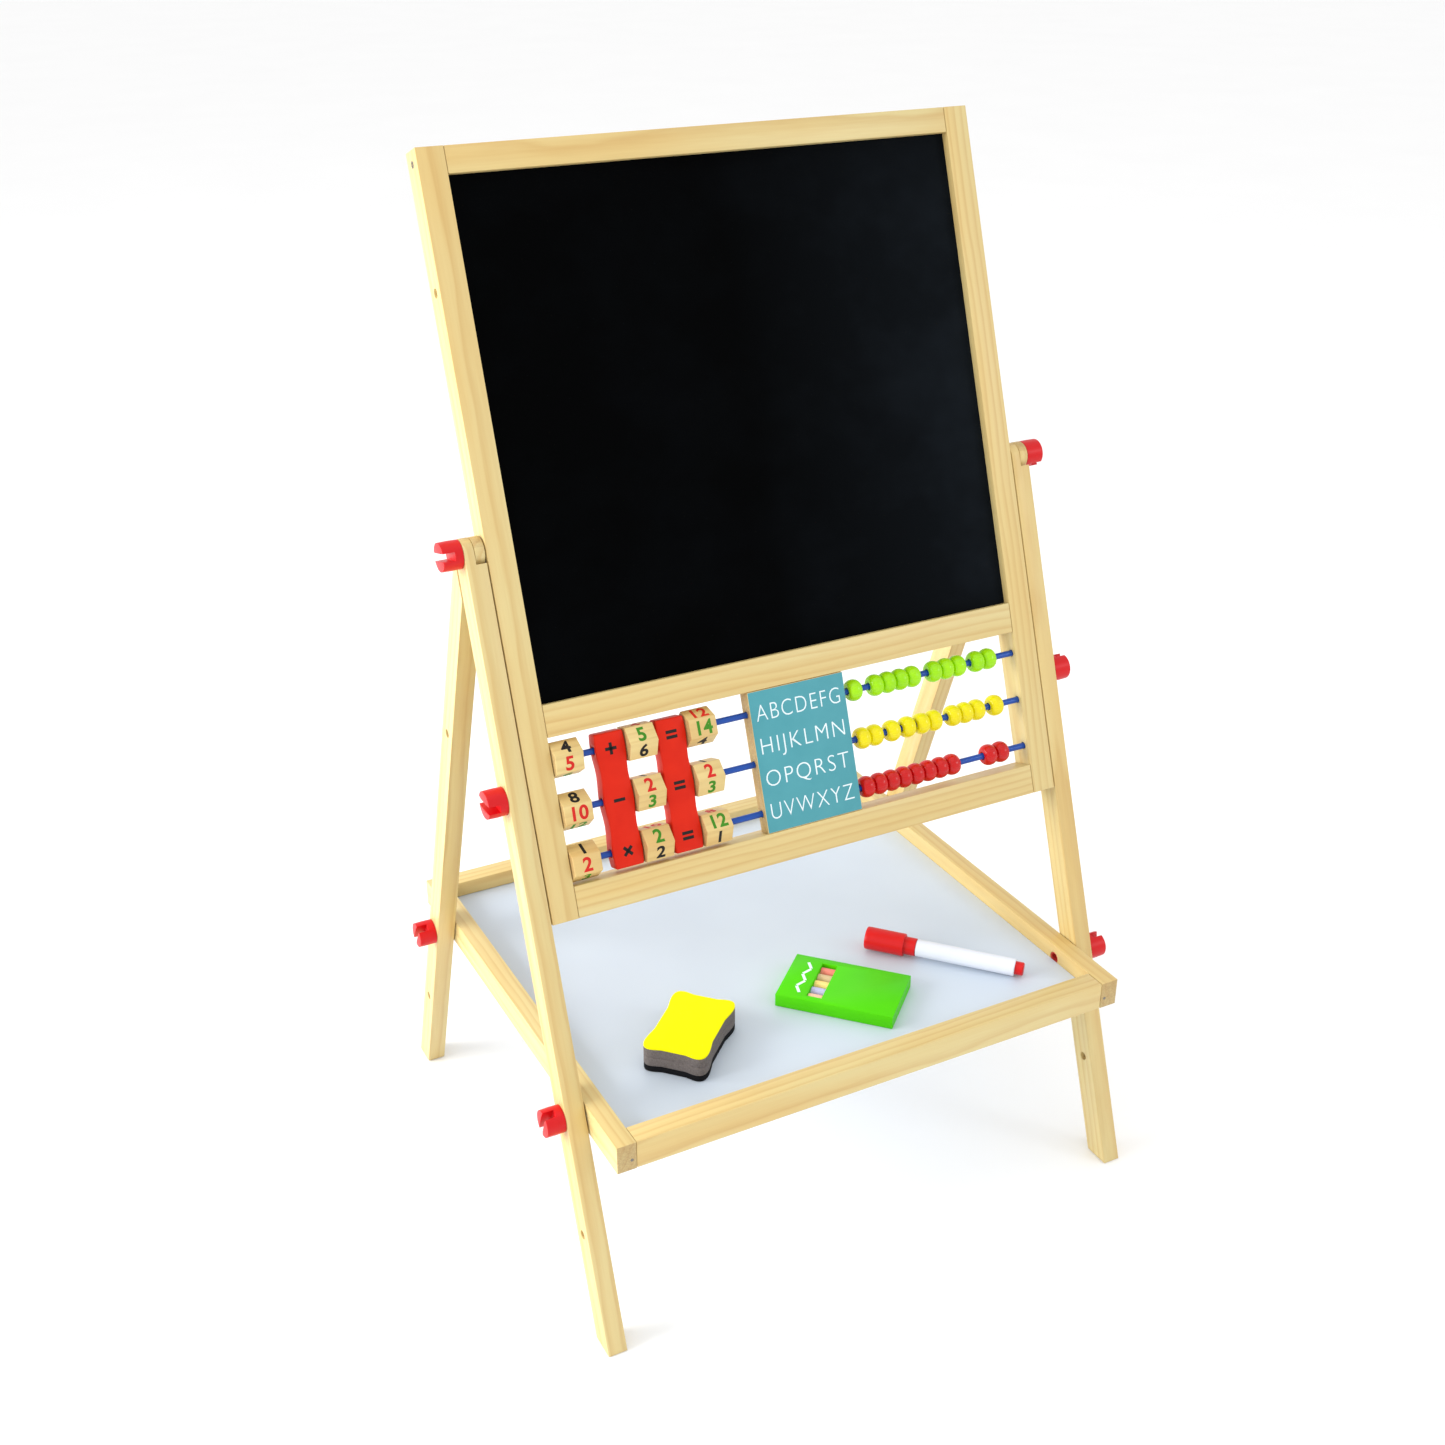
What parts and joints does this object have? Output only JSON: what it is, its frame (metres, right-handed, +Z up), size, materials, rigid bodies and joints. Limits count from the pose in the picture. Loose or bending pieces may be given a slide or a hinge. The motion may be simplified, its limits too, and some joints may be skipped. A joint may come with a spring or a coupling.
{
  "type": "kids easel",
  "caption": "Wooden table-top easel for a child: a framed board with counting beads flips between two pairs of legs, above a shallow tray.",
  "frame": {"origin": "on the floor, under the middle of the board's pivot axis", "axes": "+Z up, the chalkboard faces -Y, +X is the viewer's right"},
  "size_m": [0.5026, 0.4196, 0.8149],
  "materials": {
    "pine": "clear-lacquered knot-free pine, satin",
    "chalkboard_black": "painted hardboard, slight sheen",
    "whiteboard_white": "dry-wipe laminate, gloss",
    "tray_white": "laminated hardboard, soft gloss",
    "rod_blue": "painted steel rod, gloss",
    "alphabet_blue": "wood with a painted front, satin",
    "block_wood": "bare light wood, sanded",
    "bar_red": "painted plywood, satin",
    "bead_green": "gloss",
    "bead_yellow": "gloss",
    "bead_red": "gloss",
    "knob_red": "moulded plastic, semi-gloss",
    "nut_red": "moulded plastic",
    "marker_white": "gloss",
    "marker_red": "gloss",
    "eraser_felt": "foam top on felt layers, matte",
    "chalk_box_card": "coated card, satin"
  },
  "bodies": {
    "front_legs": {"leg_front_left": "pine", "leg_front_right": "pine"},
    "board": {"stile_left": "pine", "stile_right": "pine", "top_rail": "pine", "middle_rail": "pine", "bottom_rail": "pine", "chalkboard": "chalkboard_black", "whiteboard": "whiteboard_white", "alphabet_block": "alphabet_blue", "rod_top": "rod_blue", "rod_middle": "rod_blue", "rod_bottom": "rod_blue"},
    "tray": {"tray_front_rail": "pine", "tray_back_rail": "pine", "tray_side_left": "pine", "tray_side_right": "pine", "tray_panel": "tray_white", "tray_nut_front_left": "nut_red", "tray_nut_front_right": "nut_red", "tray_nut_rear_left": "nut_red", "tray_nut_rear_right": "nut_red"},
    "rear_leg_left": {"leg_rear_left": "pine"},
    "rear_leg_right": {"leg_rear_right": "pine"},
    "knob_pivot_left": {"knob_pivot_left": "knob_red"},
    "knob_pivot_right": {"knob_pivot_right": "knob_red"},
    "knob_lock_left": {"knob_lock_left": "knob_red"},
    "knob_lock_right": {"knob_lock_right": "knob_red"},
    "knob_tray_front_left": {"knob_tray_front_left": "knob_red"},
    "knob_tray_front_right": {"knob_tray_front_right": "knob_red"},
    "knob_tray_rear_left": {"knob_tray_rear_left": "knob_red"},
    "knob_tray_rear_right": {"knob_tray_rear_right": "knob_red"},
    "number_block_1_1": {"number_block_1_1": "block_wood"},
    "number_block_1_2": {"number_block_1_2": "block_wood"},
    "number_block_1_3": {"number_block_1_3": "block_wood"},
    "number_block_2_1": {"number_block_2_1": "block_wood"},
    "number_block_2_2": {"number_block_2_2": "block_wood"},
    "number_block_2_3": {"number_block_2_3": "block_wood"},
    "number_block_3_1": {"number_block_3_1": "block_wood"},
    "number_block_3_2": {"number_block_3_2": "block_wood"},
    "number_block_3_3": {"number_block_3_3": "block_wood"},
    "operator_bar_signs": {"operator_bar_signs": "bar_red"},
    "operator_bar_equals": {"operator_bar_equals": "bar_red"},
    "green_beads_1": {"green_beads_1": "bead_green"},
    "green_beads_2": {"green_beads_2": "bead_green"},
    "green_beads_3": {"green_beads_3": "bead_green"},
    "green_beads_4": {"green_beads_4": "bead_green"},
    "yellow_beads_1": {"yellow_beads_1": "bead_yellow"},
    "yellow_beads_2": {"yellow_beads_2": "bead_yellow"},
    "yellow_beads_3": {"yellow_beads_3": "bead_yellow"},
    "yellow_beads_4": {"yellow_beads_4": "bead_yellow"},
    "yellow_beads_5": {"yellow_beads_5": "bead_yellow"},
    "yellow_beads_6": {"yellow_beads_6": "bead_yellow"},
    "red_beads_1": {"red_beads_1": "bead_red"},
    "red_beads_2": {"red_beads_2": "bead_red"},
    "marker": {"marker_barrel": "marker_white"},
    "marker_cap": {"marker_cap": "marker_red"},
    "eraser": {"eraser": "eraser_felt"},
    "chalk_box": {"chalk_box": "chalk_box_card"}
  },
  "joints": [
    {"name": "board_flip", "type": "hinge", "parent": "front_legs", "child": "board", "pos_m": [0, 0, 0.558], "axis": [1, 0, 0], "range_deg": [0, 180]},
    {"name": "tray_swing", "type": "hinge", "parent": "front_legs", "child": "tray", "pos_m": [0, -0.13821, 0.16987], "axis": [1, 0, 0], "range_deg": [-20, 45]},
    {"name": "rear_leg_swing_left", "type": "hinge", "parent": "front_legs", "child": "rear_leg_left", "pos_m": [0, 0, 0.558], "axis": [1, 0, 0], "range_deg": [-4, 15]},
    {"name": "rear_leg_swing_right", "type": "hinge", "parent": "front_legs", "child": "rear_leg_right", "pos_m": [0, 0, 0.558], "axis": [1, 0, 0], "range_deg": [-4, 15]},
    {"name": "knob_pivot_left_turn", "type": "hinge", "parent": "front_legs", "child": "knob_pivot_left", "pos_m": [-0.236, 0, 0.558], "axis": [-1, 0, 0], "continuous": true},
    {"name": "knob_pivot_right_turn", "type": "hinge", "parent": "front_legs", "child": "knob_pivot_right", "pos_m": [0.236, 0, 0.558], "axis": [1, 0, 0], "continuous": true},
    {"name": "knob_lock_left_turn", "type": "hinge", "parent": "front_legs", "child": "knob_lock_left", "pos_m": [-0.236, -0.0587, 0.39314], "axis": [-1, 0, 0], "continuous": true},
    {"name": "knob_lock_right_turn", "type": "hinge", "parent": "front_legs", "child": "knob_lock_right", "pos_m": [0.236, -0.0587, 0.39314], "axis": [1, 0, 0], "continuous": true},
    {"name": "knob_tray_front_left_turn", "type": "hinge", "parent": "front_legs", "child": "knob_tray_front_left", "pos_m": [-0.236, -0.13821, 0.16987], "axis": [-1, 0, 0], "continuous": true},
    {"name": "knob_tray_front_right_turn", "type": "hinge", "parent": "front_legs", "child": "knob_tray_front_right", "pos_m": [0.236, -0.13821, 0.16987], "axis": [1, 0, 0], "continuous": true},
    {"name": "knob_tray_rear_left_turn", "type": "hinge", "parent": "rear_leg_left", "child": "knob_tray_rear_left", "pos_m": [-0.236, 0.13821, 0.16987], "axis": [-1, 0, 0], "continuous": true},
    {"name": "knob_tray_rear_right_turn", "type": "hinge", "parent": "rear_leg_right", "child": "knob_tray_rear_right", "pos_m": [0.236, 0.13821, 0.16987], "axis": [1, 0, 0], "continuous": true},
    {"name": "number_block_1_1_spin", "type": "hinge", "parent": "board", "child": "number_block_1_1", "pos_m": [-0.18822, -0.0551, 0.4137], "axis": [1, 0, 0], "continuous": true},
    {"name": "number_block_1_2_spin", "type": "hinge", "parent": "board", "child": "number_block_1_2", "pos_m": [-0.13053, -0.0551, 0.4137], "axis": [1, 0, 0], "continuous": true},
    {"name": "number_block_1_3_spin", "type": "hinge", "parent": "board", "child": "number_block_1_3", "pos_m": [-0.0822, -0.0551, 0.4137], "axis": [1, 0, 0], "continuous": true},
    {"name": "number_block_2_1_spin", "type": "hinge", "parent": "board", "child": "number_block_2_1", "pos_m": [-0.18822, -0.06785, 0.37789], "axis": [1, 0, 0], "continuous": true},
    {"name": "number_block_2_2_spin", "type": "hinge", "parent": "board", "child": "number_block_2_2", "pos_m": [-0.13053, -0.06785, 0.37789], "axis": [1, 0, 0], "continuous": true},
    {"name": "number_block_2_3_spin", "type": "hinge", "parent": "board", "child": "number_block_2_3", "pos_m": [-0.0822, -0.06785, 0.37789], "axis": [1, 0, 0], "continuous": true},
    {"name": "number_block_3_1_spin", "type": "hinge", "parent": "board", "child": "number_block_3_1", "pos_m": [-0.18822, -0.0806, 0.34208], "axis": [1, 0, 0], "continuous": true},
    {"name": "number_block_3_2_spin", "type": "hinge", "parent": "board", "child": "number_block_3_2", "pos_m": [-0.13053, -0.0806, 0.34208], "axis": [1, 0, 0], "continuous": true},
    {"name": "number_block_3_3_spin", "type": "hinge", "parent": "board", "child": "number_block_3_3", "pos_m": [-0.0822, -0.0806, 0.34208], "axis": [1, 0, 0], "continuous": true},
    {"name": "operator_bar_signs_slide", "type": "slide", "parent": "board", "child": "operator_bar_signs", "axis": [1, 0, 0], "range_m": [-0.01124, 0.00034]},
    {"name": "operator_bar_equals_slide", "type": "slide", "parent": "board", "child": "operator_bar_equals", "axis": [1, 0, 0], "range_m": [-0.00189, 0.00034]},
    {"name": "green_beads_1_slide", "type": "slide", "parent": "board", "child": "green_beads_1", "axis": [1, 0, 0], "range_m": [-0.00518, 0.00799]},
    {"name": "green_beads_2_slide", "type": "slide", "parent": "board", "child": "green_beads_2", "axis": [1, 0, 0], "range_m": [-0.00799, 0.00837]},
    {"name": "green_beads_3_slide", "type": "slide", "parent": "board", "child": "green_beads_3", "axis": [1, 0, 0], "range_m": [-0.00837, 0.00605]},
    {"name": "green_beads_4_slide", "type": "slide", "parent": "board", "child": "green_beads_4", "axis": [1, 0, 0], "range_m": [-0.00605, 0.01766]},
    {"name": "yellow_beads_1_slide", "type": "slide", "parent": "board", "child": "yellow_beads_1", "axis": [1, 0, 0], "range_m": [-0.00674, 0.00416]},
    {"name": "yellow_beads_2_slide", "type": "slide", "parent": "board", "child": "yellow_beads_2", "axis": [1, 0, 0], "range_m": [-0.00416, 0.00273]},
    {"name": "yellow_beads_3_slide", "type": "slide", "parent": "board", "child": "yellow_beads_3", "axis": [1, 0, 0], "range_m": [-0.00273, 0.00177]},
    {"name": "yellow_beads_4_slide", "type": "slide", "parent": "board", "child": "yellow_beads_4", "axis": [1, 0, 0], "range_m": [-0.00177, 0.00674]},
    {"name": "yellow_beads_5_slide", "type": "slide", "parent": "board", "child": "yellow_beads_5", "axis": [1, 0, 0], "range_m": [-0.00674, 0.00607]},
    {"name": "yellow_beads_6_slide", "type": "slide", "parent": "board", "child": "yellow_beads_6", "axis": [1, 0, 0], "range_m": [-0.00607, 0.01676]},
    {"name": "red_beads_1_slide", "type": "slide", "parent": "board", "child": "red_beads_1", "axis": [1, 0, 0], "range_m": [-0.00437, 0.02388]},
    {"name": "red_beads_2_slide", "type": "slide", "parent": "board", "child": "red_beads_2", "axis": [1, 0, 0], "range_m": [-0.02388, 0.01731]},
    {"name": "marker_lift", "type": "slide", "parent": "tray", "child": "marker", "axis": [0, 0, 1], "range_m": [0, 0.08]},
    {"name": "marker_cap_pull", "type": "slide", "parent": "marker", "child": "marker_cap", "axis": [-0.6932, 0.7203, 0.0261], "range_m": [0, 0.05]},
    {"name": "eraser_lift", "type": "slide", "parent": "tray", "child": "eraser", "axis": [0, 0, 1], "range_m": [0, 0.08]},
    {"name": "chalk_box_lift", "type": "slide", "parent": "tray", "child": "chalk_box", "axis": [0, 0, 1], "range_m": [0, 0.08]}
  ]
}
